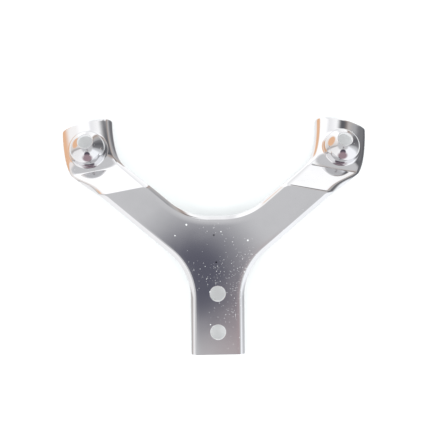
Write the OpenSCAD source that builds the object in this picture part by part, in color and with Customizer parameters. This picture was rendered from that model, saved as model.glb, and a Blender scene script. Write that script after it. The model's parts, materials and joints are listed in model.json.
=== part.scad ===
// Fender bracket for a moped: one pressed and plated sheet of steel.
// A flat Y-shaped web has its long edges rolled down. Each arm steps down at a skewed fold
// and ends in a crowned ear that carries a raised dome with a bolt hole.
// The bracket lies good face up, on the two ear tips and the end of the stem.

/* [Sheet] */
// Thickness of the sheet
sheet_t = 1.5; // [1:0.1:2]
// Radius of the rolled edge, on its outside
roll_r = 2.4; // [2.2:0.1:3]
// Full depth of the rolled edge, from the good face down
lip_depth = 4.8; // [3.8:0.1:6]

/* [Stem] */
// Width of the stem over its rolled edges
stem_w = 22.9; // [18:0.1:28]
// Distance from the lower hole to the plain cut end of the stem
stem_end = 9.6; // [6:0.1:14]
// Distance between the two holes of the stem
hole_pitch = 16.3; // [12:0.1:20]
// Diameter of the stem holes
stem_hole_d = 6.5; // [5:0.1:8]

/* [Fork] */
// Height of the crotch edge above the lower hole
crotch_y = 49; // [44:0.1:56]
// Radius of each corner of the crotch
crotch_r = 26; // [16:0.5:30]
// Radius between the stem and each arm
shoulder_r = 25; // [18:0.5:32]
// Rise of both edges of an arm, from level
arm_angle = 40.4; // [37:0.1:44]
// Sideways place of the middle of the first fold
fold_x = 37.4; // [35:0.1:41]
// Height of the middle of the first fold above the lower hole
fold_y = 59.2; // [57:0.1:62]
// Skew of both folds, from level
fold_skew = 10.4; // [6:0.1:15]
// Length of the first fold, edge to edge
fold_w = 21.7; // [19:0.1:23]

/* [Step] */
// Run of the step between its two folds, seen square to the web
step_run = 11.4; // [8:0.1:14]
// Slope of the step below the web
step_slope = 38; // [20:1:50]
// Radius of both folds, on the good face
fold_r = 3; // [2:0.1:4]

/* [Ear] */
// Slope of the ear below the web
ear_slope = 27; // [15:1:40]
// Run of the ear from the second fold to its tip, seen square to the web
ear_run = 21.1; // [18:0.1:24]
// Width of the ear where it is widest
ear_w = 22; // [20:0.1:24]
// Distance of the ear's middle line outwards from the middle of the first fold
ear_shift = 13; // [11:0.1:14]
// Flare of the ear's outer edge past the end of the second fold
outer_flare = 1.8; // [0.5:0.1:3]
// Narrowing of the ear's inner edge from the end of the second fold
inner_waist = 3.4; // [1:0.1:5]
// Height of the ear's crown over its two side edges
ear_crown = 2.2; // [1:0.1:3]
// Lean of the ear's tip towards the fork
tip_lean = 0.8; // [0:0.1:2]
// Skew of the ear's tip edge against the folds
tip_skew = 4.2; // [0:0.1:8]
// Bow of the ear's tip edge
tip_bow = 0.5; // [0:0.1:1.5]
// Radius of the two corners at the ear's tip
tip_r = 0.8; // [0.5:0.1:3]
// Radius of the dome, on its outside
dome_r = 7.8; // [6.5:0.1:8.5]
// Run from the ear's tip back to the middle of the dome
dome_back = 12; // [11:0.1:13]
// Distance of the dome outwards from the ear's middle line
dome_side = 0.5; // [-1:0.1:1.5]
// Diameter of the hole through the dome
ear_hole_d = 6.5; // [5:0.1:8]

/* [Hidden] */
$fn = 96;

// Chrome over steel
chrome = [0.72, 0.73, 0.76];
// Number of straight pieces in each rolled edge, across the face of an arm and round a corner of the Y
roll_steps = 4;
face_steps = 8;
corner_steps = 12;
// Number of straight pieces along each fold, the step, the ear and the corners at its tip
bend_steps = 4;
step_steps = 5;
ear_steps = 13;
tip_steps = 5;
// Roll of the ear's plain outer edge, and its short straight end
ear_edge_roll = 24;
ear_edge_len = 0.3;
// Part of the full lip depth that is left on the ear's inner edge
ear_lip_share = 0.75;
// Powers of the ear's edge curves: they leave the fold early, and lean near the tip
flare_power = 5;
lean_power = 4;
// Run past the second fold over which the crown rises
crown_lead = 6;
// Run on both sides of the step over which the rolled edges tilt
tilt_lead = 1;
// Distance between the two places that give an edge's slant, and the most that a slant stretches it
slant_gap = 0.4;
slant_limit = 1.6;
// Length of the straight end of each arm before the first fold
arm_lead = 3;
// Depth of the skirt below the dome's widest line
dome_skirt = sheet_t - 0.1;
// Slack that carries a cutter past the face that it cuts
past = 1;

half_w = stem_w / 2;
lip_wall = lip_depth - roll_r;
// Flat strip behind each rolled edge, and how far the flat of the Y reaches past the arm's start
strip_w = 1.6;
web_reach = 1;

// Axes of one arm, in plan: outwards along the fold, and square to it towards the tip
along = [cos(fold_skew), -sin(fold_skew)];
square_to = [sin(fold_skew), cos(fold_skew)];
fold_mid = [fold_x, fold_y];

function unit2(angle) = [cos(angle), sin(angle)];
function plan(a, d) = fold_mid + a * along + d * square_to;
// Where the line from p along u crosses the line from q along v
function meet(p, u, q, v) =
    let (w = q - p, c = u.x * v.y - u.y * v.x) p + u * ((w.x * v.y - w.y * v.x) / c);

// Edge lines of the arm
arm_dir = unit2(arm_angle);
out_inward = unit2(arm_angle + 90);
in_inward = unit2(arm_angle - 90);
out_end = plan(fold_w / 2, 0);
in_end = plan(-fold_w / 2, 0);

// Corner circles of the Y, tangent to the edges beside them
shoulder_x = half_w + shoulder_r;
shoulder_c = meet([shoulder_x, 0], [0, 1], out_end - shoulder_r * out_inward, arm_dir);
crotch_c = meet([0, crotch_y + crotch_r], [1, 0], in_end - crotch_r * in_inward, arm_dir);

// The line where the flat arm hands over to the bent arm end
lead_mid = plan(0, -arm_lead);
function on_lead(p, u) = meet(p, u, lead_mid + web_reach * square_to, along);

// Flat face of half the Y, which ends within the flat strip behind each rolled edge
module half_web() {
    inset = roll_r + strip_w / 2;
    flat_shoulder = shoulder_r + inset;
    flat_crotch = crotch_r + inset;
    translate([0, 0, -sheet_t]) linear_extrude(sheet_t) difference() {
        polygon([
            [0, -stem_end],
            [half_w - inset, -stem_end],
            [half_w - inset, shoulder_c.y],
            shoulder_c,
            shoulder_c + flat_shoulder * out_inward,
            on_lead(out_end + inset * out_inward, arm_dir),
            on_lead(in_end + inset * in_inward, arm_dir),
            crotch_c + flat_crotch * in_inward,
            crotch_c,
            [crotch_c.x, crotch_y - inset],
            [0, crotch_y - inset]
        ]);
        translate(shoulder_c) circle(flat_shoulder);
        translate(crotch_c) circle(flat_crotch);
    }
}

// Rolled edge of the Y at one place: from the end of its wall over the roll to the flat strip
function edge_spot(p, w, x, h) = [p.x + x * w.x, p.y + x * w.y, -h];
function edge_line(p, w, under) =
    let (t = under * sheet_t, r = roll_r - t)
    concat(
        [edge_spot(p, w, t, lip_depth)],
        [for (i = [roll_steps:-1:1]) let (b = 90 * i / roll_steps)
            edge_spot(p, w, roll_r - r * sin(b), t + r * (1 - cos(b)))],
        [for (x = [roll_r, roll_r + strip_w]) edge_spot(p, w, x, t)]
    );
function back_to_front(v) = [for (i = [len(v) - 1:-1:0]) v[i]];

// The two lengths of rolled edge that lead to the arm end, as [place on the edge, way into the sheet]
outer_edge = concat(
    [[[half_w, -stem_end], [-1, 0]]],
    [for (i = [0:corner_steps]) let (w = unit2(mix(180, arm_angle + 90, i / corner_steps)))
        [shoulder_c + shoulder_r * w, w]]);
crotch_edge = concat(
    [[[0, crotch_y], [0, -1]]],
    [for (i = [0:corner_steps]) let (w = unit2(270 + arm_angle * i / corner_steps))
        [crotch_c + crotch_r * w, w]]);

// Side profile of the arm end: its stations as [run, height, slope]
function first_bend() = [for (i = [0:bend_steps]) let (s = step_slope * i / bend_steps)
    [fold_r * sin(s), -fold_r * (1 - cos(s)), s]];
bend1_run = fold_r * sin(step_slope);
bend1_drop = fold_r * (1 - cos(step_slope));
bend2_half = fold_r * abs(sin(step_slope) - sin(ear_slope)) / 2;
step_end_run = step_run - bend2_half;
step_end_drop = bend1_drop + (step_end_run - bend1_run) * tan(step_slope);
function second_bend() = [for (i = [0:bend_steps]) let (s = mix(step_slope, ear_slope, i / bend_steps))
    [step_end_run + fold_r * abs(sin(step_slope) - sin(s)),
     -step_end_drop - fold_r * abs(cos(step_slope) - cos(s)), s]];
ear_start_run = step_end_run + 2 * bend2_half;
ear_start_drop = step_end_drop + fold_r * abs(cos(step_slope) - cos(ear_slope));
function ear_z(d) = -ear_start_drop - (d - ear_start_run) * tan(ear_slope);
tip_d = step_run + ear_run;
tip_start = tip_d - tip_r * cos(ear_slope);

step_stations = [for (i = [1:step_steps - 1]) let (d = mix(bend1_run, step_end_run, i / step_steps))
    [d, -bend1_drop - (d - bend1_run) * tan(step_slope), step_slope]];
ear_stations = [for (i = [1:ear_steps]) let (d = mix(ear_start_run, tip_start, i / ear_steps))
    [d, ear_z(d), ear_slope]];
tip_stations = [for (i = [1:tip_steps]) let (d = mix(tip_start, tip_d, sin(90 * i / tip_steps)))
    [d, ear_z(d), ear_slope]];
stations = concat([[-arm_lead, 0, 0]], first_bend(), step_stations, second_bend(),
                  ear_stations, tip_stations);

// Inset of the ear's corners near its tip
function corner_in(d) = d <= tip_start ? 0 :
    let (u = (d - tip_start) / (tip_d - tip_start)) tip_r * (1 - sqrt(max(0, 1 - u * u)));
function mix(a, b, u) = a + (b - a) * u;
function ease(u) = let (v = min(1, max(0, u))) v * v * (3 - 2 * v);
function step_share(d) = min(1, max(0, d / step_run));
function ear_share(d) = min(1, max(0, (d - step_run) / ear_run));

neck_out = ear_shift + ear_w / 2 - outer_flare;
neck_in = ear_shift - ear_w / 2 - inner_waist;
fold_corner = arm_angle + fold_skew;

// Early spread of the ear past the second fold, and its late lean near the tip
function early(d) = 1 - pow(1 - ear_share(d), flare_power);
function lean(d) = tip_lean * pow(ear_share(d), lean_power);
// Places of the arm's outer and inner edges, along the fold, at run d
function edge_out(d) =
    d < 0 ? fold_w / 2 + d / tan(fold_corner) :
    d < step_run ? mix(fold_w / 2, neck_out, step_share(d)) :
    neck_out + outer_flare * early(d) - lean(d) - corner_in(d);
function edge_in(d) =
    d < 0 ? -fold_w / 2 + d / tan(fold_corner) :
    d < step_run ? mix(-fold_w / 2, neck_in, step_share(d)) :
    neck_in + inner_waist * early(d) - lean(d) + corner_in(d);
// Stretch of a rolled edge that the section crosses at a slant
function slant(change) = min(slant_limit, sqrt(1 + pow(change / slant_gap, 2)));
function out_slant(d) = slant(edge_out(d + slant_gap / 2) - edge_out(d - slant_gap / 2));
function in_slant(d) =
    let (e = min(d, tip_start)) slant(edge_in(e + slant_gap / 2) - edge_in(e - slant_gap / 2));

// Roll of the outer edge and the straight wall past each roll: the outer lip dies out along the step
function out_roll(d) = mix(90, ear_edge_roll, ease(step_share(d)));
function out_wall(d) = mix(lip_wall, ear_edge_len, ease(step_share(d)));
function in_wall(d) = mix(lip_wall, lip_depth * ear_lip_share - roll_r, ease(ear_share(d) * 2));
// The rolled edges turn from square to the web to square to the ear
function wall_tilt(d) = ear_slope * ease((d + tilt_lead) / (step_run + 2 * tilt_lead));
// Height of the crown, and the run that the skewed and bowed tip edge takes off
function ear_place(a) = (a - ear_shift) / (ear_w / 2);
function crown(a, d) = ear_crown * ease((d - step_run) / crown_lead) * (1 - pow(ear_place(a), 2));
function tip_cut(a, d) =
    ear_share(d) * ((a - ear_shift) * tan(tip_skew) + tip_bow * pow(ear_place(a), 2));

// One point of a section: place along the fold, depth below the face
function spot(d, z, tilt, a, h) =
    let (cut = tip_cut(a, d), p = plan(a, d - cut), up = crown(a, d) - h)
    [p.x + up * sin(tilt) * square_to.x,
     p.y + up * sin(tilt) * square_to.y,
     z + cut * tan(ear_slope) + up * cos(tilt)];

// One section's line from the outer lip to the inner lip: the face, or the underside where under is 1
function section_line(s, under) =
    let (d = s[0], z = s[1], n = s[2], m = wall_tilt(d),
         t = under * sheet_t, r = roll_r - t,
         ko = out_slant(d), ki = in_slant(d),
         bo = out_roll(d), lo = out_wall(d),
         fo = edge_out(d) - ko * (roll_r * sin(bo) + lo * cos(bo)),
         fi = edge_in(d) + ki * roll_r)
    concat(
        [spot(d, z, m, fo + ko * (r * sin(bo) + lo * cos(bo)), t + r * (1 - cos(bo)) + lo * sin(bo))],
        [for (i = [roll_steps:-1:1]) let (b = bo * i / roll_steps)
            spot(d, z, m, fo + ko * r * sin(b), t + r * (1 - cos(b)))],
        [for (i = [0:face_steps]) spot(d, z, n, mix(fo, fi, i / face_steps), t)],
        [for (i = [1:roll_steps]) let (b = 90 * i / roll_steps)
            spot(d, z, m, fi - ki * r * sin(b), t + r * (1 - cos(b)))],
        [spot(d, z, m, fi - ki * r, roll_r + in_wall(d))]
    );

section_n = 2 * (roll_steps + 1) + face_steps + 1;
strip_n = roll_steps + 3;
arm_points = [for (s = stations) each concat(section_line(s, 0), section_line(s, 1))];
outer_points = [for (e = outer_edge) each concat(edge_line(e[0], e[1], 0), edge_line(e[0], e[1], 1))];
crotch_points = [for (e = crotch_edge) each concat(
    back_to_front(edge_line(e[0], e[1], 0)), back_to_front(edge_line(e[0], e[1], 1)))];

// Numbers of the points round one section: the face from first to last, then back underneath
function ring(start, n, first, last) =
    concat([for (k = [first:last]) start + k], [for (k = [last:-1:first]) start + n + k]);
// Triangles between two neighbouring rings, and across a plain end
function skin(a, b) = [for (k = [0:len(a) - 1]) let (m = (k + 1) % len(a))
    each [[a[k], a[m], b[m]], [a[k], b[m], b[k]]]];
function plain_end(a) = let (n = len(a)) [for (k = [0:n / 2 - 2])
    each [[a[k], a[n - 1 - k], a[n - 2 - k]], [a[k], a[n - 2 - k], a[k + 1]]]];

// Half of the formed sheet without the flat of the Y: both rolled edges and the arm end
module half_edges() {
    n = section_n;
    outer_at = len(arm_points);
    crotch_at = outer_at + len(outer_points);
    arm_rings = [for (s = [0:len(stations) - 1]) ring(s * 2 * n, n, 0, n - 1)];
    outer_rings = concat(
        [for (s = [0:len(outer_edge) - 1]) ring(outer_at + s * 2 * strip_n, strip_n, 0, strip_n - 1)],
        [ring(0, n, 0, strip_n - 1)]);
    crotch_rings = concat(
        [for (s = [0:len(crotch_edge) - 1]) ring(crotch_at + s * 2 * strip_n, strip_n, 0, strip_n - 1)],
        [ring(0, n, n - strip_n, n - 1)]);
    sides = [for (rings = [arm_rings, outer_rings, crotch_rings])
        for (s = [0:len(rings) - 2]) each skin(rings[s], rings[s + 1])];
    ends = concat(
        plain_end(outer_rings[0]),
        plain_end(crotch_rings[0]),
        plain_end(ring(0, n, strip_n - 1, n - strip_n)),
        plain_end(back_to_front(arm_rings[len(stations) - 1])));
    polyhedron(concat(arm_points, outer_points, crotch_points), concat(sides, ends), convexity = 8);
}

// Places a child on the ear's face at the dome, with +Z square to the face
dome_d = tip_d - dome_back;
dome_a = ear_shift + dome_side;
dome_foot = spot(dome_d, ear_z(dome_d), ear_slope, dome_a, 0);
module on_ear() {
    translate(dome_foot) rotate([0, 0, -fold_skew]) rotate([-ear_slope, 0, 0]) children();
}

module dome_shape(r, skirt) {
    rotate_extrude() {
        intersection() {
            circle(r);
            square(r);
        }
        translate([0, -skirt]) square([r, skirt]);
    }
}

module half_bracket() {
    difference() {
        union() {
            half_web();
            half_edges();
            on_ear() dome_shape(dome_r, dome_skirt);
        }
        on_ear() dome_shape(dome_r - sheet_t, sheet_t + lip_depth);
        on_ear() cylinder(d = ear_hole_d, h = dome_r + past);
    }
}

// Rest: the stem's end and the ear tips lie on the surface
stem_foot = [-stem_end, -lip_depth];
rest_tilt = max([for (p = arm_points) if (p.y > crotch_y) atan2(stem_foot[1] - p.z, p.y - stem_foot[0])]);
function rest_y(y, z) = y * cos(rest_tilt) - z * sin(rest_tilt);
function rest_z(y, z) = y * sin(rest_tilt) + z * cos(rest_tilt);
rest_drop = rest_z(stem_foot[0], stem_foot[1]);
back_y = max([for (p = arm_points) rest_y(p.y, p.z)]);
front_y = rest_y(-stem_end, 0);

module bracket() {
    color(chrome)
    translate([0, -(back_y + front_y) / 2, -rest_drop]) rotate([rest_tilt, 0, 0]) difference() {
        union() {
            half_bracket();
            mirror([1, 0, 0]) half_bracket();
        }
        for (y = [0, hole_pitch])
            translate([0, y, -sheet_t - past]) cylinder(d = stem_hole_d, h = sheet_t + 2 * past);
    }
}

bracket();
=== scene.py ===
import json
import math
import bmesh
import bpy
from mathutils import Matrix, Vector


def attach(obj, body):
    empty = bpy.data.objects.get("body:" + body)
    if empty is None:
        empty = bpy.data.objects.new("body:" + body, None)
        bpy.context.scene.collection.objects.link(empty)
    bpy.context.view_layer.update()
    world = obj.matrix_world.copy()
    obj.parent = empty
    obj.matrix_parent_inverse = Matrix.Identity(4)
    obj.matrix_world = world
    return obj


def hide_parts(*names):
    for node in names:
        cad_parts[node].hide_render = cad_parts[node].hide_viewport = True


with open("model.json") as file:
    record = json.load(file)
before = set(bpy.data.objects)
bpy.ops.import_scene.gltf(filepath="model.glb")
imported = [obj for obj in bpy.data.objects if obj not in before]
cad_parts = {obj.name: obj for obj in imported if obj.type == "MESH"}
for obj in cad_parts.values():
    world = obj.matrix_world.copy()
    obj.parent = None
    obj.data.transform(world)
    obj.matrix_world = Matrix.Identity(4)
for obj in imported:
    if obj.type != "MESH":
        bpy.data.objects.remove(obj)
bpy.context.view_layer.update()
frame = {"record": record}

mm = 0.001


def sinD(angle):
    return math.sin(math.radians(angle))


def cosD(angle):
    return math.cos(math.radians(angle))


def tanD(angle):
    return math.tan(math.radians(angle))


def mix(a, b, share):
    return a + (b - a) * share


def clamp(value):
    return min(1.0, max(0.0, value))


def ease(share):
    v = clamp(share)
    return v * v * (3 - 2 * v)


def unit(angle):
    return Vector((cosD(angle), sinD(angle)))


# the pressed sheet, in millimetres and degrees, as the solid model has it
sheet = {"thick": 1.5, "roll": 2.4, "lip": 4.8, "rim": 0.14, "rimShare": 0.4, "weld": 0.0005}
stem = {"half": 11.45, "end": 9.6, "pitch": 16.3, "hole": 3.25, "band": 0.2}
fork = {
    "crotchY": 49.0,
    "crotchR": 26.0,
    "shoulderR": 25.0,
    "armAngle": 40.4,
    "foldX": 37.4,
    "foldY": 59.2,
    "foldSkew": 10.4,
    "foldWide": 21.7,
    "lead": 3.0,
    "strip": 1.6,
}
step = {"run": 11.4, "slope": 38.0, "bendR": 3.0, "tiltLead": 1.0}
ear = {
    "slope": 27.0,
    "run": 21.1,
    "wide": 22.0,
    "shift": 13.0,
    "flare": 1.8,
    "flarePower": 5,
    "waist": 3.4,
    "lean": 0.8,
    "leanPower": 4,
    "skew": 4.2,
    "bow": 0.5,
    "crown": 2.2,
    "crownLead": 6.0,
    "tipR": 0.8,
    "edgeRoll": 24.0,
    "edgeLen": 0.3,
    "lipShare": 0.75,
    "slantGap": 0.4,
    "slantLimit": 1.6,
}
dome = {
    "r": 7.8,
    "back": 12.0,
    "side": 0.5,
    "hole": 3.25,
    "shoulder": 78.0,
    "foot": 8.7,
    "footGap": 0.35,
    "probe": 0.1,
    "near": 0.001,
    "nearTurn": 0.5,
}

# how finely each stretch of the sheet is drawn
steps = {
    "roll": 12,
    "face": 28,
    "corner": 30,
    "bend": 7,
    "step": 8,
    "ear": 34,
    "ring": 56,
    "domeCap": 20,
    "domeFoot": 7,
    "domeOut": 7,
    "settle": 4,
}

# the arm's own axes in plan, and the lines of its two edges
along = Vector((cosD(fork["foldSkew"]), -sinD(fork["foldSkew"])))
squareTo = Vector((sinD(fork["foldSkew"]), cosD(fork["foldSkew"])))
foldMid = Vector((fork["foldX"], fork["foldY"]))
armDir = unit(fork["armAngle"])
outInward = unit(fork["armAngle"] + 90)
inInward = unit(fork["armAngle"] - 90)


def plan(a, d):
    return foldMid + a * along + d * squareTo


def meet(p, u, q, v):
    w = q - p
    cross = u.x * v.y - u.y * v.x
    return p + u * ((w.x * v.y - w.y * v.x) / cross)


outEnd = plan(fork["foldWide"] / 2, 0)
inEnd = plan(-fork["foldWide"] / 2, 0)
shoulderLine = Vector((stem["half"] + fork["shoulderR"], 0))
shoulderC = meet(shoulderLine, Vector((0, 1)), outEnd - fork["shoulderR"] * outInward, armDir)
crotchLine = Vector((0, fork["crotchY"] + fork["crotchR"]))
crotchC = meet(crotchLine, Vector((1, 0)), inEnd - fork["crotchR"] * inInward, armDir)

# runs and drops of the two bends in the arm's side profile
bendRun = step["bendR"] * sinD(step["slope"])
bendDrop = step["bendR"] * (1 - cosD(step["slope"]))
secondRun = step["bendR"] * (sinD(step["slope"]) - sinD(ear["slope"]))
stepEnd = step["run"] - secondRun / 2
stepDrop = bendDrop + (stepEnd - bendRun) * tanD(step["slope"])
earStart = stepEnd + secondRun
earDrop = stepDrop + step["bendR"] * (cosD(ear["slope"]) - cosD(step["slope"]))
tipRun = step["run"] + ear["run"]
tipStart = tipRun - ear["tipR"] * cosD(ear["slope"])


def profile(d):
    if d <= 0:
        return 0.0, 0.0
    if d < bendRun:
        slope = math.degrees(math.asin(d / step["bendR"]))
        return -step["bendR"] * (1 - cosD(slope)), slope
    if d <= stepEnd:
        return -bendDrop - (d - bendRun) * tanD(step["slope"]), step["slope"]
    if d < earStart:
        slope = math.degrees(math.asin(sinD(step["slope"]) - (d - stepEnd) / step["bendR"]))
        return -stepDrop - step["bendR"] * (cosD(slope) - cosD(step["slope"])), slope
    return -earDrop - (d - earStart) * tanD(ear["slope"]), ear["slope"]


def earShare(d):
    return clamp((d - step["run"]) / ear["run"])


def cornerIn(d):
    if d <= tipStart:
        return 0.0
    share = clamp((d - tipStart) / (tipRun - tipStart))
    return ear["tipR"] * (1 - math.sqrt(max(0.0, 1 - share * share)))


def edgePlace(d, side):
    # side is 1 for the outer edge and -1 for the inner one
    if d < 0:
        return side * fork["foldWide"] / 2 + d / tanD(fork["armAngle"] + fork["foldSkew"])
    spread = ear["flare"] if side > 0 else ear["waist"]
    neck = ear["shift"] + side * ear["wide"] / 2 - spread
    if d < step["run"]:
        return mix(side * fork["foldWide"] / 2, neck, clamp(d / step["run"]))
    share = earShare(d)
    early = 1 - (1 - share) ** ear["flarePower"]
    return neck + spread * early - ear["lean"] * share ** ear["leanPower"] - side * cornerIn(d)


def stretch(d, side):
    if side < 0:
        d = min(d, tipStart)
    half = ear["slantGap"] / 2
    change = edgePlace(d + half, side) - edgePlace(d - half, side)
    return min(ear["slantLimit"], math.sqrt(1 + (change / ear["slantGap"]) ** 2))


def earPlace(a):
    return (a - ear["shift"]) / (ear["wide"] / 2)


def crown(a, d):
    return ear["crown"] * ease((d - step["run"]) / ear["crownLead"]) * (1 - earPlace(a) ** 2)


def tipCut(a, d):
    return earShare(d) * ((a - ear["shift"]) * tanD(ear["skew"]) + ear["bow"] * earPlace(a) ** 2)


def wallTilt(d):
    return ear["slope"] * ease((d + step["tiltLead"]) / (step["run"] + 2 * step["tiltLead"]))


def spot(d, height, tilt, a, depth):
    cut = tipCut(a, d)
    up = crown(a, d) - depth
    p = plan(a, d - cut) + up * sinD(tilt) * squareTo
    return Vector((p.x, p.y, height + cut * tanD(ear["slope"]) + up * cosD(tilt)))


# where the points stand along a lip's straight wall and over the tip's rounded corners
wallShares = (1.0, 0.5)
tipShares = (0.45, 0.8, 1.0)
rimColumns = len(wallShares) + steps["roll"]


def sectionRow(d):
    # one line of points across the arm, from the outer lip to the inner lip
    height, slope = profile(d)
    tilt = wallTilt(d)
    fade = ease(d / step["run"])
    r = sheet["roll"]
    wall = sheet["lip"] - r
    turn = mix(90, ear["edgeRoll"], fade)
    outWall = mix(wall, ear["edgeLen"], fade)
    inWall = mix(wall, sheet["lip"] * ear["lipShare"] - r, ease(earShare(d) * 2))
    outWide = stretch(d, 1)
    inWide = stretch(d, -1)
    faceOut = edgePlace(d, 1) - outWide * (r * sinD(turn) + outWall * cosD(turn))
    faceIn = edgePlace(d, -1) + inWide * r
    row = []
    for share in wallShares:
        reach = r * sinD(turn) + share * outWall * cosD(turn)
        depth = r * (1 - cosD(turn)) + share * outWall * sinD(turn)
        row.append(spot(d, height, tilt, faceOut + outWide * reach, depth))
    for i in range(steps["roll"], 0, -1):
        b = turn * i / steps["roll"]
        row.append(spot(d, height, tilt, faceOut + outWide * r * sinD(b), r * (1 - cosD(b))))
    for i in range(steps["face"] + 1):
        row.append(spot(d, height, slope, mix(faceOut, faceIn, i / steps["face"]), 0))
    for i in range(1, steps["roll"] + 1):
        b = 90 * i / steps["roll"]
        row.append(spot(d, height, tilt, faceIn - inWide * r * sinD(b), r * (1 - cosD(b))))
    for share in reversed(wallShares):
        row.append(spot(d, height, tilt, faceIn - inWide * r, r + share * inWall))
    return row


def railRow(place, inward):
    # one line of points over the rolled edge of the Y, from the end of its wall to the flat
    def at(x, depth):
        return Vector((place.x + x * inward.x, place.y + x * inward.y, -depth))

    r = sheet["roll"]
    row = [at(0, r + share * (sheet["lip"] - r)) for share in wallShares]
    for i in range(steps["roll"], 0, -1):
        b = 90 * i / steps["roll"]
        row.append(at(r * (1 - sinD(b)), r * (1 - cosD(b))))
    row.append(at(r, 0))
    row.append(at(r + fork["strip"], 0))
    return row


def outerRail():
    down = Vector((-1, 0))
    straight = (-stem["end"], -stem["end"] + stem["band"], 0)
    rows = [railRow(Vector((stem["half"], y)), down) for y in straight]
    for i in range(steps["corner"] + 1):
        w = unit(mix(180, fork["armAngle"] + 90, i / steps["corner"]))
        rows.append(railRow(shoulderC + fork["shoulderR"] * w, w))
    return rows


def crotchRail():
    rows = [railRow(Vector((0, fork["crotchY"])), Vector((0, -1)))]
    for i in range(steps["corner"] + 1):
        w = unit(mix(270, 270 + fork["armAngle"], i / steps["corner"]))
        rows.append(railRow(crotchC + fork["crotchR"] * w, w))
    return [row[::-1] for row in rows]


# the ear's own axes at the foot of its dome
domeRun = tipRun - dome["back"]
domeSide = ear["shift"] + dome["side"]
domeFoot = spot(domeRun, profile(domeRun)[0], ear["slope"], domeSide, 0)
earAlong = Vector((along.x, along.y, 0))
earLevel = cosD(ear["slope"])
earDown = Vector((squareTo.x * earLevel, squareTo.y * earLevel, -sinD(ear["slope"])))
earUp = earAlong.cross(earDown)


def onEar(x, y, z):
    return domeFoot + x * earAlong + y * earDown + z * earUp


def earHeight(x, y):
    # the crowned face over the ear's own axes
    a = domeSide + x
    level = domeRun - tipCut(domeSide, domeRun) + y * cosD(ear["slope"])
    d = level
    for _ in range(steps["settle"]):
        d = level + tipCut(a, d)
    return crown(a, d) - crown(domeSide, domeRun)


def domeRay(rimPoint):
    # from the edge of the hole, over the dome and its foot, out to the rim of the ear's face
    local = rimPoint - domeFoot
    x, y = local.dot(earAlong), local.dot(earDown)
    reach = math.hypot(x, y)
    cx, cy = x / reach, y / reach
    first = math.degrees(math.asin(dome["hole"] / dome["r"]))
    points = []
    for i in range(steps["domeCap"] + 1):
        turn = mix(first, dome["shoulder"], i / steps["domeCap"])
        r = dome["r"] * sinD(turn)
        points.append(onEar(r * cx, r * cy, dome["r"] * cosD(turn)))
    start = Vector((dome["r"] * sinD(dome["shoulder"]), dome["r"] * cosD(dome["shoulder"])))
    foot = min(dome["foot"], reach - dome["footGap"])
    end = Vector((foot, earHeight(foot * cx, foot * cy)))
    gap = dome["probe"]
    fall = (earHeight((foot + gap) * cx, (foot + gap) * cy) - end.y) / gap
    pull = (end - start).length
    leave = Vector((cosD(dome["shoulder"]), -sinD(dome["shoulder"]))) * pull
    land = Vector((1, fall)).normalized() * pull
    # the foot's fillet leaves the dome and lands on the face without a crease
    for i in range(1, steps["domeFoot"] + 1):
        t = i / steps["domeFoot"]
        p = (
            (2 * t**3 - 3 * t**2 + 1) * start
            + (t**3 - 2 * t**2 + t) * leave
            + (3 * t**2 - 2 * t**3) * end
            + (t**3 - t**2) * land
        )
        points.append(onEar(p.x * cx, p.x * cy, p.y))
    for i in range(1, steps["domeOut"]):
        r = mix(foot, reach, i / steps["domeOut"])
        points.append(onEar(r * cx, r * cy, earHeight(r * cx, r * cy)))
    return points


def armRuns():
    # where the lines across the arm stand, up to the ear's face and along it
    runs = [-fork["lead"], -fork["lead"] / 2]
    for i in range(steps["bend"] + 1):
        runs.append(step["bendR"] * sinD(step["slope"] * i / steps["bend"]))
    runs += [mix(bendRun, stepEnd, i / steps["step"]) for i in range(1, steps["step"] + 1)]
    for i in range(1, steps["bend"]):
        slope = mix(step["slope"], ear["slope"], i / steps["bend"])
        runs.append(stepEnd + step["bendR"] * (sinD(step["slope"]) - sinD(slope)))
    runs.append(earStart)
    earRuns = [mix(earStart, tipStart, i / steps["ear"]) for i in range(1, steps["ear"] + 1)]
    earRuns += [mix(tipStart, tipRun, share) for share in tipShares]
    return runs, earRuns


def bridgeRows(bm, rows):
    for low, high in zip(rows, rows[1:]):
        for i in range(len(low) - 1):
            bm.faces.new((low[i], low[i + 1], high[i + 1], high[i]))


def halfFace(bm, side, flatRim):
    # the good face of one half, with no flat yet; side is 1 on the right and -1 on the left
    def verts(row):
        return [bm.verts.new((side * p.x, p.y, p.z)) for p in row]

    runs, earRuns = armRuns()
    rows = [verts(sectionRow(d)) for d in runs]
    bridgeRows(bm, rows)
    first = rimColumns
    last = rimColumns + steps["face"]
    sides = []
    for d in earRuns:
        points = sectionRow(d)
        sides.append((verts(points[: first + 1]), verts(points[last:]), points))
    bridgeRows(bm, [rows[-1][: first + 1]] + [s[0] for s in sides])
    bridgeRows(bm, [rows[-1][last:]] + [s[1] for s in sides])

    tipPoints = sides[-1][2][first + 1 : last]
    rim = list(rows[-1][first : last + 1])
    rim += [s[1][0] for s in sides]
    rim += verts(tipPoints)[::-1]
    rim += [s[0][-1] for s in reversed(sides)]
    rays = []
    for v in rim:
        points = domeRay(Vector((side * v.co.x, v.co.y, v.co.z)))
        rays.append(verts(points) + [v])
    bridgeRows(bm, rays + [rays[0]])

    outer = [verts(row) for row in outerRail()]
    crotch = [verts(row) for row in crotchRail()]
    stripCount = rimColumns + 2
    bridgeRows(bm, outer + [rows[0][:stripCount]])
    bridgeRows(bm, crotch + [rows[0][-stripCount:]])
    flatRim.update(row[-1] for row in outer[1:])
    flatRim.update(row[0] for row in crotch)
    flatRim.update(rows[0][first + 1 : last])
    return outer[0][-1], outer[1][-1]


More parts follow.
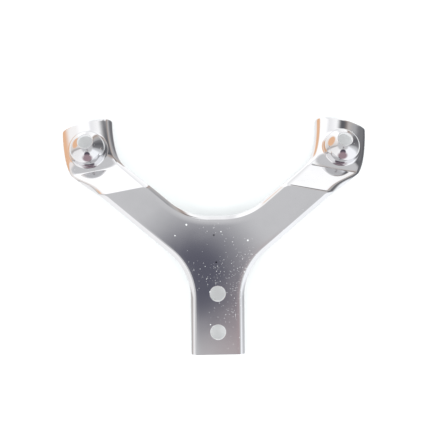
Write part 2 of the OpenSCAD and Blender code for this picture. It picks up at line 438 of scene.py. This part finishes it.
def holeRing(bm, y, flatRim):
    inner, outer = [], []
    for i in range(steps["ring"]):
        w = unit(360 * i / steps["ring"])
        for ring, r in ((inner, stem["hole"]), (outer, stem["hole"] + stem["band"])):
            ring.append(bm.verts.new((w.x * r, y + w.y * r, 0)))
    bridgeRows(bm, [inner + inner[:1], outer + outer[:1]])
    flatRim.update(outer)


def goodFace(bm):
    # both halves, the two stem holes and the flat of the Y between them
    mark = bm.verts.layers.int.new("flatRim")
    flatRim = set()
    corners = [halfFace(bm, side, flatRim) for side in (1, -1)]
    (rightEnd, rightIn), (leftEnd, leftIn) = corners
    bm.faces.new((leftEnd, rightEnd, rightIn, leftIn))
    for y in (0, stem["pitch"]):
        holeRing(bm, y, flatRim)
    for v in flatRim:
        v[mark] = 1
    bmesh.ops.remove_doubles(bm, verts=bm.verts, dist=sheet["weld"])
    border = [e for e in bm.edges if e.is_boundary and e.verts[0][mark] and e.verts[1][mark]]
    bmesh.ops.triangle_fill(bm, use_beauty=True, edges=border, normal=(0, 0, 1))
    bmesh.ops.recalc_face_normals(bm, faces=bm.faces)
    flat = max(bm.faces, key=lambda f: f.calc_area())
    if flat.normal.z < 0:
        bmesh.ops.reverse_faces(bm, faces=bm.faces)
    bm.normal_update()


def underPoint(v):
    # a punched hole has straight walls, so a dome's inner skin is drawn back to the hole's width
    side = 1 if v.co.x > 0 else -1
    local = Vector((side * v.co.x, v.co.y, v.co.z)) - domeFoot
    x, y, z = local.dot(earAlong), local.dot(earDown), local.dot(earUp)
    onDome = abs(local.length - dome["r"]) < dome["near"]
    turn = math.degrees(math.atan2(math.hypot(x, y), z))
    if not onDome or turn > dome["shoulder"] + dome["nearTurn"]:
        return v.co - sheet["thick"] * v.normal
    inner = dome["r"] - sheet["thick"]
    outTurn = math.degrees(math.asin(dome["hole"] / dome["r"]))
    inTurn = math.degrees(math.asin(dome["hole"] / inner))
    turn = mix(inTurn, dome["shoulder"], clamp((turn - outTurn) / (dome["shoulder"] - outTurn)))
    around = math.atan2(y, x)
    r = inner * sinD(turn)
    p = onEar(r * math.cos(around), r * math.sin(around), inner * cosD(turn))
    return Vector((side * p.x, p.y, p.z))


def rimWay(v):
    # which way the sheet lies from a point on its cut edge, and how far its edge may be rounded
    inner = [e.other_vert(v) for e in v.link_edges if not e.is_boundary]
    if inner:
        way = sum((w.co - v.co for w in inner), Vector())
        room = min((w.co - v.co).length for w in inner)
    else:
        way = v.link_faces[0].calc_center_median() - v.co
        room = way.length
    return way.normalized(), min(sheet["rim"], sheet["rimShare"] * room)


def giveWall(bm):
    # the underside, and a cut edge with softly rounded corners all round
    faces = list(bm.faces)
    rimEdges = [e for e in bm.edges if e.is_boundary]
    rimLoops = [(e.link_loops[0].vert, e.link_loops[0].link_loop_next.vert) for e in rimEdges]
    rimVerts = sorted({v for pair in rimLoops for v in pair}, key=lambda v: v.index)
    ways = {v: rimWay(v) for v in rimVerts}
    under = {v: bm.verts.new(underPoint(v)) for v in list(bm.verts)}
    rings = {}
    for v in rimVerts:
        way, r = ways[v]
        top, low = v.co.copy(), under[v].co.copy()
        down = (low - top).normalized()
        soft = r * (1 - sinD(45))
        middle = [
            top + soft * way + soft * down,
            top + r * down,
            low - r * down,
            low + soft * way - soft * down,
        ]
        rings[v] = [v] + [bm.verts.new(p) for p in middle] + [under[v]]
        v.co = top + r * way
        under[v].co = low + r * way
    for f in faces:
        bm.faces.new([under[v] for v in reversed(f.verts)])
    for first, second in rimLoops:
        here, there = rings[first], rings[second]
        for i in range(len(here) - 1):
            bm.faces.new((there[i], here[i], here[i + 1], there[i + 1]))


def applyModifier(piece, kind, **settings):
    modifier = piece.modifiers.new(kind.lower(), kind)
    for key, value in settings.items():
        setattr(modifier, key, value)
    bpy.ops.object.modifier_apply(modifier=modifier.name)


def webPlace():
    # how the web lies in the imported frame, read from the lower stem hole
    hole = next(m for m in frame["record"]["mounts"] if m["name"] == "stem_hole_lower")
    up = Vector(hole["axis"]).normalized()
    tilt = math.atan2(-up.y, up.z)
    middle = Vector((0, 0, -sheet["thick"] / 2 * mm))
    turn = Matrix.Rotation(tilt, 4, "X")
    return Matrix.Translation(Vector(hole["pos_m"]) - turn @ middle) @ turn @ Matrix.Scale(mm, 4)


def makeBracket(material):
    bpy.ops.object.select_all(action="DESELECT")
    bm = bmesh.new()
    goodFace(bm)
    giveWall(bm)
    mesh = bpy.data.meshes.new("pressed_bracket")
    bm.to_mesh(mesh)
    bm.free()
    piece = bpy.data.objects.new("pressed_bracket", mesh)
    bpy.context.scene.collection.objects.link(piece)
    bpy.context.view_layer.objects.active = piece
    piece.select_set(True)
    piece.data.transform(webPlace())
    piece.data.materials.append(material)
    bpy.ops.object.shade_smooth()
    applyModifier(piece, "WEIGHTED_NORMAL", keep_sharp=True, weight=60)
    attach(piece, "root")
    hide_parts("bracket")
    print("bracket pressed:", len(piece.data.polygons), "faces")
    return piece


# where the lens stands, in millimetres, which way it looks and which way is up in the frame
view = {
    "eye": (-15.95, -54.19, 457.01),
    "aim": (0.03856, 0.13094, -0.99064),
    "top": (0.01247, 0.99124, 0.13151),
    "lens": 86.97,
    "sensor": 36.0,
    "clip": 0.01,
}


def placeCamera():
    camData = bpy.data.cameras.new("camera")
    camData.sensor_fit = "HORIZONTAL"
    camData.sensor_width = view["sensor"]
    camData.lens = view["lens"]
    camData.clip_start = view["clip"]
    cam = bpy.data.objects.new("camera", camData)
    bpy.context.scene.collection.objects.link(cam)
    back = -Vector(view["aim"]).normalized()
    side = Vector(view["top"]).cross(back).normalized()
    up = back.cross(side)
    turn = Matrix((side, up, back)).transposed().to_4x4()
    cam.matrix_world = Matrix.Translation(Vector(view["eye"]) * mm) @ turn
    bpy.context.scene.camera = cam
    print("camera placed")


def newMaterial(name):
    mat = bpy.data.materials.new(name)
    mat.use_nodes = True
    nodes = mat.node_tree.nodes
    return mat, nodes, mat.node_tree.links, nodes["Principled BSDF"]


# bright plating: a mirror with a faint haze and fine dust. Scales are to the metre and
# places and reaches in metres. Each spread is the stretch of the noise that is used. A
# kind of dust has its scale, the largest share kept and its strength, and a speck has its
# smallest reach in its cell and what may be added to that
plating = {
    "tint": (0.83, 0.83, 0.845),
    "dull": 0.965,
    "rough": (0.035, 0.085),
    "haze": 55.0,
    "hazeSpread": (0.4, 0.7),
    "cloud": 90.0,
    "cloudSpread": (0.35, 0.7),
    "wave": (60.0, 0.012),
    "crowd": 30.0,
    "crowdSpread": (0.42, 0.66),
    "speck": (0.14, 0.18),
    "fineDust": (1900.0, 0.5, 0.4),
    "coarseDust": (620.0, 0.025, 0.6),
    "dustMiddle": (-0.006, -0.016, 0.010),
    "dustReach": (0.012, 0.034),
    "dustBeyond": 0.12,
    "dustColour": (0.86, 0.86, 0.85),
    "dustRough": 0.8,
    # the dark colour painted as the shade in the two small dimples on the web
    "dimpleShadeColour": (0.1, 0.1, 0.11),
}

# painted shade of two small dimples on the web, drawn as dark spots in the plating's colour; inner is the
# share of a spot's reach that is at full strength
firstDimpleShade = {"place": (-0.0005, -0.0126, 0.0116), "inner": 0.6, "reach": 0.00045, "strength": 1.0}
secondDimpleShade = {"place": (-0.0014, -0.0013, 0.0135), "inner": 0.4, "reach": 0.0006, "strength": 0.7}


def mathNode(nodes, links, kind, *values):
    node = nodes.new("ShaderNodeMath")
    node.operation = kind
    for i, value in enumerate(values):
        if isinstance(value, (int, float)):
            node.inputs[i].default_value = value
        else:
            links.new(value, node.inputs[i])
    return node.outputs[0]


def softStep(nodes, links, value, low, high, fromValue=0.0, toValue=1.0):
    node = nodes.new("ShaderNodeMapRange")
    node.interpolation_type = "SMOOTHSTEP"
    node.inputs["From Min"].default_value = low
    node.inputs["From Max"].default_value = high
    node.inputs["To Min"].default_value = fromValue
    node.inputs["To Max"].default_value = toValue
    links.new(value, node.inputs["Value"])
    return node.outputs["Result"]


def blendColour(nodes, links, share, first, second):
    # a Mix node keeps its two colours at inputs 6 and 7, and its blend at output 2
    node = nodes.new("ShaderNodeMix")
    node.data_type = "RGBA"
    links.new(share, node.inputs[0])
    for socket, value in ((node.inputs[6], first), (node.inputs[7], second)):
        if isinstance(value, tuple):
            socket.default_value = (*value, 1.0)
        else:
            links.new(value, socket)
    return node.outputs[2]


def noise(nodes, links, place, scale, detail=3.0):
    node = nodes.new("ShaderNodeTexNoise")
    node.inputs["Scale"].default_value = scale
    node.inputs["Detail"].default_value = detail
    links.new(place, node.inputs["Vector"])
    return node.outputs["Fac"]


def speckled(nodes, links, place, kind, crowd):
    # crowd is how much of the kind's share is kept at each place
    scale, kept, strength = kind
    smallest, spread = plating["speck"]
    cells = nodes.new("ShaderNodeTexVoronoi")
    cells.inputs["Scale"].default_value = scale
    links.new(place, cells.inputs["Vector"])
    pick = nodes.new("ShaderNodeSeparateColor")
    links.new(cells.outputs["Color"], pick.inputs[0])
    share = mathNode(nodes, links, "MULTIPLY", crowd, kept)
    chosen = mathNode(nodes, links, "LESS_THAN", pick.outputs[0], share)
    reach = mathNode(nodes, links, "MULTIPLY_ADD", pick.outputs[1], spread, smallest)
    inside = mathNode(nodes, links, "LESS_THAN", cells.outputs["Distance"], reach)
    dust = mathNode(nodes, links, "MULTIPLY", chosen, inside)
    return mathNode(nodes, links, "MULTIPLY", dust, strength)


def farFrom(nodes, links, place, point):
    node = nodes.new("ShaderNodeVectorMath")
    node.operation = "DISTANCE"
    node.inputs[1].default_value = point
    links.new(place, node.inputs[0])
    return node.outputs["Value"]


# a dark spot of painted shade where a dimple lies, fading out to its reach
def paintDimpleShade(nodes, links, place, mark):
    away = farFrom(nodes, links, place, mark["place"])
    reach = mark["reach"]
    return softStep(nodes, links, away, mark["inner"] * reach, reach, mark["strength"], 0.0)


def dustOn(nodes, links, place):
    # small round specks, thickest about the middle of the web and crowded in some places
    away = farFrom(nodes, links, place, plating["dustMiddle"])
    middle = softStep(nodes, links, away, *plating["dustReach"], 1.0, plating["dustBeyond"])
    crowd = noise(nodes, links, place, plating["crowd"])
    crowd = softStep(nodes, links, crowd, *plating["crowdSpread"])
    crowd = mathNode(nodes, links, "MULTIPLY", crowd, middle)
    fine = speckled(nodes, links, place, plating["fineDust"], crowd)
    coarse = speckled(nodes, links, place, plating["coarseDust"], middle)
    return mathNode(nodes, links, "MAXIMUM", fine, coarse)


def chromeMaterial():
    mat, nodes, links, shader = newMaterial("chrome_plating")
    place = nodes.new("ShaderNodeTexCoord").outputs["Object"]
    dust = dustOn(nodes, links, place)
    # painted shade for the two dimples, darkest at their middles
    dimpleShades = [paintDimpleShade(nodes, links, place, mark) for mark in (firstDimpleShade, secondDimpleShade)]
    dimpleShades = mathNode(nodes, links, "MAXIMUM", *dimpleShades)

    tint = plating["tint"]
    cloud = noise(nodes, links, place, plating["cloud"])
    cloud = softStep(nodes, links, cloud, *plating["cloudSpread"])
    colour = blendColour(nodes, links, cloud, tint, tuple(plating["dull"] * c for c in tint))
    colour = blendColour(nodes, links, dust, colour, plating["dustColour"])
    # the dimples' painted shade darkens the plating's colour
    colour = blendColour(nodes, links, dimpleShades, colour, plating["dimpleShadeColour"])
    links.new(colour, shader.inputs["Base Color"])
    links.new(mathNode(nodes, links, "SUBTRACT", 1.0, dust), shader.inputs["Metallic"])

    haze = noise(nodes, links, place, plating["haze"], 4.0)
    rough = softStep(nodes, links, haze, *plating["hazeSpread"], *plating["rough"])
    dustRough = mathNode(nodes, links, "MULTIPLY", dust, plating["dustRough"])
    links.new(mathNode(nodes, links, "ADD", rough, dustRough), shader.inputs["Roughness"])

    scale, strength = plating["wave"]
    bump = nodes.new("ShaderNodeBump")
    bump.inputs["Strength"].default_value = strength
    bump.inputs["Distance"].default_value = mm
    links.new(noise(nodes, links, place, scale, 1.0), bump.inputs["Height"])
    links.new(bump.outputs["Normal"], shader.inputs["Normal"])
    print("plating mixed")
    return mat


# a white floor that keeps the object's shadow
ground = {"size": 6.0, "drop": 0.0002, "tone": (0.82, 0.82, 0.82), "rough": 0.9, "glow": 0.1}


def makeFloor():
    bpy.ops.object.select_all(action="DESELECT")
    bpy.ops.mesh.primitive_plane_add(size=ground["size"], location=(0, 0, -ground["drop"]))
    floor = bpy.context.object
    floor.name = "floor"
    mat, nodes, links, shader = newMaterial("white_floor")
    shader.inputs["Base Color"].default_value = (*ground["tone"], 1.0)
    shader.inputs["Roughness"].default_value = ground["rough"]
    shader.inputs["Emission Color"].default_value = (1, 1, 1, 1)
    shader.inputs["Emission Strength"].default_value = ground["glow"]
    floor.data.materials.append(mat)
    floor.visible_glossy = False
    print("floor laid")


# soft lamps: place and size in metres, power in watts
lamps = [
    {"name": "lamp_left", "place": (-0.9, -0.5, 1.1), "size": 0.8, "power": 9.0},
    {"name": "lamp_right", "place": (0.9, -0.4, 1.1), "size": 0.8, "power": 7.0},
]


def hangLamps():
    for lamp in lamps:
        light = bpy.data.lights.new(lamp["name"], "AREA")
        light.size = lamp["size"]
        light.energy = lamp["power"]
        obj = bpy.data.objects.new(lamp["name"], light)
        bpy.context.scene.collection.objects.link(obj)
        obj.location = lamp["place"]
        obj.rotation_euler = (-Vector(lamp["place"])).to_track_quat("-Z", "Y").to_euler()
        obj.visible_glossy = False
    print("lamps hung")


# white is what the camera sees, plain lights the floor, and the rest is mirrored in the
# plating. The walls go round from +Y towards +X: each stop has its turn and a tone, and
# wallTop and wallFoot are where they fade, from the zenith. The patches lie over them,
# later ones on top: turn and angle from the zenith, full and outer radius, tone, and a
# share where it isn't whole. All angles are in degrees
room = {
    "white": (1.0, 1.0, 1.0),
    "plain": (1.12, 1.19, 1.2),
    "ceiling": (0.64, 0.64, 0.65),
    "ground": (1.0, 1.02, 1.02),
    "walls": [
        (-180, (1.15, 1.15, 1.16)),
        (-106, (1.0, 0.99, 0.99)),
        (-96, (0.50, 0.47, 0.46)),
        (-86, (0.82, 0.78, 0.75)),
        (-60, (1.0, 0.95, 0.92)),
        (-40, (1.12, 1.10, 1.08)),
        (-25, (1.3, 1.3, 1.3)),
        (-13, (1.3, 1.3, 1.3)),
        (-5, (0.98, 0.98, 0.99)),
        (8, (1.12, 1.12, 1.12)),
        (19, (1.22, 1.22, 1.22)),
        (27, (0.45, 0.37, 0.33)),
        (35, (0.55, 0.52, 0.50)),
        (44, (0.45, 0.45, 0.46)),
        (52, (0.22, 0.22, 0.23)),
        (66, (0.15, 0.15, 0.16)),
        (84, (0.22, 0.22, 0.23)),
        (98, (0.62, 0.63, 0.65)),
        (114, (1.1, 1.12, 1.15)),
        (180, (1.15, 1.15, 1.16)),
    ],
    "wallTop": (27, 42),
    "wallFoot": (122, 138),
    "patches": [
        {"name": "warm side", "at": (-62, 84), "radii": (20, 29), "tone": (0.93, 0.57, 0.36)},
        {"name": "dark top", "at": (180, 46), "radii": (15, 20), "tone": (0.10, 0.085, 0.11)},
        {"name": "brown haze", "at": (180, 72), "radii": (18, 34), "tone": (0.38, 0.28, 0.31)},
        {"name": "dark band", "at": (22, 51), "radii": (2, 11), "tone": (0.13, 0.13, 0.14)},
        {"name": "grey end", "at": (176, 25), "radii": (1, 7), "tone": (0.44, 0.43, 0.43), "share": 0.9},
        {"name": "pink tinge", "at": (164, 19), "radii": (1, 5.5), "tone": (0.42, 0.32, 0.33), "share": 0.8},
        {"name": "navy spot", "at": (176.5, 15.5), "radii": (0.9, 4.8), "tone": (0.12, 0.12, 0.155)},
    ],
}


def towards(turn, lean):
    return sinD(turn) * sinD(lean), cosD(turn) * sinD(lean), cosD(lean)


def wallColour(nodes, links, way):
    parts = nodes.new("ShaderNodeSeparateXYZ")
    links.new(way, parts.inputs[0])
    turn = mathNode(nodes, links, "ARCTAN2", parts.outputs["X"], parts.outputs["Y"])
    turn = mathNode(nodes, links, "MULTIPLY_ADD", turn, 0.5 / math.pi, 0.5)
    ramp = nodes.new("ShaderNodeValToRGB")
    ramp.color_ramp.interpolation = "EASE"
    stops = ramp.color_ramp.elements
    while len(stops) < len(room["walls"]):
        stops.new(1.0)
    for stop, (degrees, tone) in zip(stops, room["walls"]):
        stop.position = degrees / 360 + 0.5
        stop.color = (*tone, 1.0)
    links.new(turn, ramp.inputs[0])
    top, foot = room["wallTop"]
    share = softStep(nodes, links, parts.outputs["Z"], cosD(foot), cosD(top), 1.0, 0.0)
    colour = blendColour(nodes, links, share, room["ceiling"], ramp.outputs["Color"])
    top, foot = room["wallFoot"]
    share = softStep(nodes, links, parts.outputs["Z"], cosD(foot), cosD(top), 1.0, 0.0)
    return blendColour(nodes, links, share, colour, room["ground"])


def patchShare(nodes, links, way, patch):
    near = nodes.new("ShaderNodeVectorMath")
    near.label = patch["name"]
    near.operation = "DOT_PRODUCT"
    near.inputs[1].default_value = towards(*patch["at"])
    links.new(way, near.inputs[0])
    angle = mathNode(nodes, links, "ARCCOSINE", near.outputs["Value"])
    full, outer = (math.radians(r) for r in patch["radii"])
    return softStep(nodes, links, angle, full, outer, patch.get("share", 1.0), 0.0)


def makeWorld():
    world = bpy.data.worlds.new("studio")
    bpy.context.scene.world = world
    world.use_nodes = True
    nodes = world.node_tree.nodes
    links = world.node_tree.links
    nodes.clear()
    way = nodes.new("ShaderNodeTexCoord").outputs["Generated"]
    colour = wallColour(nodes, links, way)
    for patch in room["patches"]:
        share = patchShare(nodes, links, way, patch)
        colour = blendColour(nodes, links, share, colour, patch["tone"])
    rays = nodes.new("ShaderNodeLightPath")
    colour = blendColour(nodes, links, rays.outputs["Is Glossy Ray"], room["plain"], colour)
    colour = blendColour(nodes, links, rays.outputs["Is Camera Ray"], colour, room["white"])
    light = nodes.new("ShaderNodeBackground")
    links.new(colour, light.inputs["Color"])
    out = nodes.new("ShaderNodeOutputWorld")
    links.new(light.outputs[0], out.inputs["Surface"])
    print("world set")


placeCamera()
makeFloor()
hangLamps()
makeWorld()
makeBracket(chromeMaterial())

bpy.context.scene.view_settings.view_transform = "Standard"
